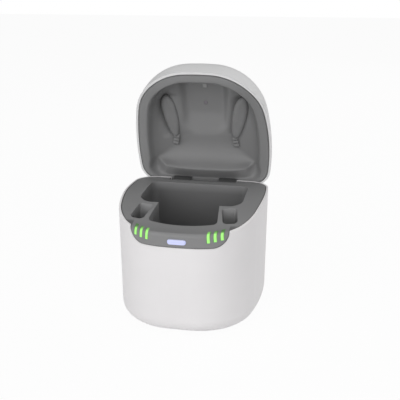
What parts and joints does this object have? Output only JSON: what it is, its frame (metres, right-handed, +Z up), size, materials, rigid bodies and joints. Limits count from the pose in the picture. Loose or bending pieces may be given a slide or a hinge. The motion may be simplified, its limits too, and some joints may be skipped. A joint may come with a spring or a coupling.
{
  "type": "hearing aid dryer",
  "caption": "Upright pot with a heated drying chamber and twin aid slots under a hinged dome lid, with a front push button and charge lights.",
  "frame": {"origin": "on the resting plane under the middle of the pot where it is widest", "axes": "+Z up, -Y towards the front with the button, +X to the user's right"},
  "size_m": [0.0826, 0.0976, 0.1381],
  "materials": {
    "white_body": "satin",
    "white_lid": "satin",
    "grey_tray": "satin",
    "grey_liner": "satin",
    "button_cap": "translucent, lit from behind",
    "base_plastic": "fine grain",
    "foot_rubber": "matt",
    "pad_rubber": "matt",
    "screw_steel": "bright",
    "pin_steel": "bright",
    "washer_plastic": "matt",
    "board_green": "solder mask",
    "chip_black": "moulded",
    "socket_steel": "bright",
    "grille_grey": "fine grain",
    "heater_plastic": "matt",
    "fin_aluminium": "bare",
    "fan_black": "satin",
    "coil_copper": "enamelled copper wire",
    "led_resin": "clear resin",
    "lamp_resin": "clear resin",
    "window_clear": "polished",
    "magnet_nickel": "satin",
    "guide_green": "translucent, lit from behind"
  },
  "bodies": {
    "body": {"base_cover": "base_plastic", "base_screws": "screw_steel", "board_screws": "screw_steel", "button_switch": "chip_black", "chamber_grille": "grille_grey", "charging_coil_left": "coil_copper", "charging_coil_right": "coil_copper", "choke": "chip_black", "control_chip": "chip_black", "fan_frame": "fan_black", "fan_screws": "screw_steel", "foot_pad": "foot_rubber", "front_board": "board_green", "front_board_screws": "screw_steel", "heater_fins": "fin_aluminium", "heater_frame": "heater_plastic", "hinge_pin": "pin_steel", "hinge_washers": "washer_plastic", "inlet_socket": "socket_steel", "inner_tray": "grey_tray", "lid_sensor": "chip_black", "light_guide_left_1": "guide_green", "light_guide_left_2": "guide_green", "light_guide_left_3": "guide_green", "light_guide_right_1": "guide_green", "light_guide_right_2": "guide_green", "light_guide_right_3": "guide_green", "main_board": "board_green", "outer_housing": "white_body", "status_leds": "led_resin"},
    "lid": {"aid_pad_left": "pad_rubber", "aid_pad_right": "pad_rubber", "lamp": "lamp_resin", "lamp_board": "board_green", "lamp_window": "window_clear", "lid_cover": "white_lid", "lid_liner": "grey_liner", "lid_magnet": "magnet_nickel"},
    "button": {"power_button": "button_cap"},
    "fan": {"fan_rotor": "fan_black"}
  },
  "joints": [
    {"name": "lid_hinge", "type": "hinge", "parent": "body", "child": "lid", "pos_m": [0, 0.0232, 0.0626], "axis": [1, 0, 0], "range_deg": [0, 75]},
    {"name": "button_press", "type": "slide", "parent": "body", "child": "button", "axis": [0, 1, 0], "range_m": [0, 0.0005], "stiffness_N_per_m": 1500, "springref_m": -0.0002},
    {"name": "fan_spin", "type": "hinge", "parent": "body", "child": "fan", "pos_m": [0, -0.0129, 0.0224], "axis": [0, 0, 1], "continuous": true}
  ]
}
